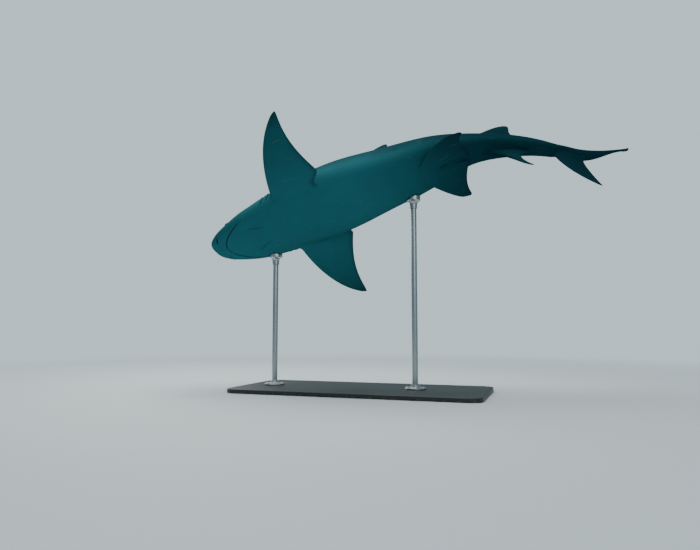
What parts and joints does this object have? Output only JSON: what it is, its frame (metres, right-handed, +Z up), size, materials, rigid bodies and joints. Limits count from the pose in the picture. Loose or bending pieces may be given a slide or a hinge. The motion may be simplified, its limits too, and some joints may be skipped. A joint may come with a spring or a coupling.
{
  "type": "shark",
  "caption": "Life-size lemon shark in a banking turn, mouth closed, held by upright rods on a flat display base.",
  "frame": {"origin": "middle of the underside of the stand's base", "axes": "+X along the base from the head's end to the tail's, +Y to the shark's right, +Z up"},
  "size_m": [2.1808, 0.9887, 1.3354],
  "materials": {
    "skin": "fine sandpaper-like skin, dark blue-green back shading into a paler blue-green belly, as the shark looks under water",
    "eye": "wet gloss, yellow-brown iris with a dark upright slit pupil",
    "stand_paint": "satin black powder coat",
    "stand_steel": "brushed along the rods",
    "stand_rubber": "matt black moulded rubber"
  },
  "bodies": {
    "root": {"head": "skin", "lower_jaw": "skin", "gill_section": "skin", "trunk_front": "skin", "trunk_rear": "skin", "tail_stalk": "skin", "pectoral_fin_left": "skin", "pectoral_fin_right": "skin", "pelvic_fin_left": "skin", "pelvic_fin_right": "skin", "first_dorsal_fin": "skin", "second_dorsal_fin": "skin", "anal_fin": "skin", "caudal_fin_upper": "skin", "caudal_fin_lower": "skin", "eye_right": "eye", "eye_left": "eye", "stand_base": "stand_paint", "stand_flange_front": "stand_steel", "stand_rod_front": "stand_steel", "stand_saddle_front": "stand_steel", "stand_pad_front": "stand_rubber", "stand_flange_rear": "stand_steel", "stand_rod_rear": "stand_steel", "stand_saddle_rear": "stand_steel", "stand_pad_rear": "stand_rubber"}
  },
  "joints": []
}
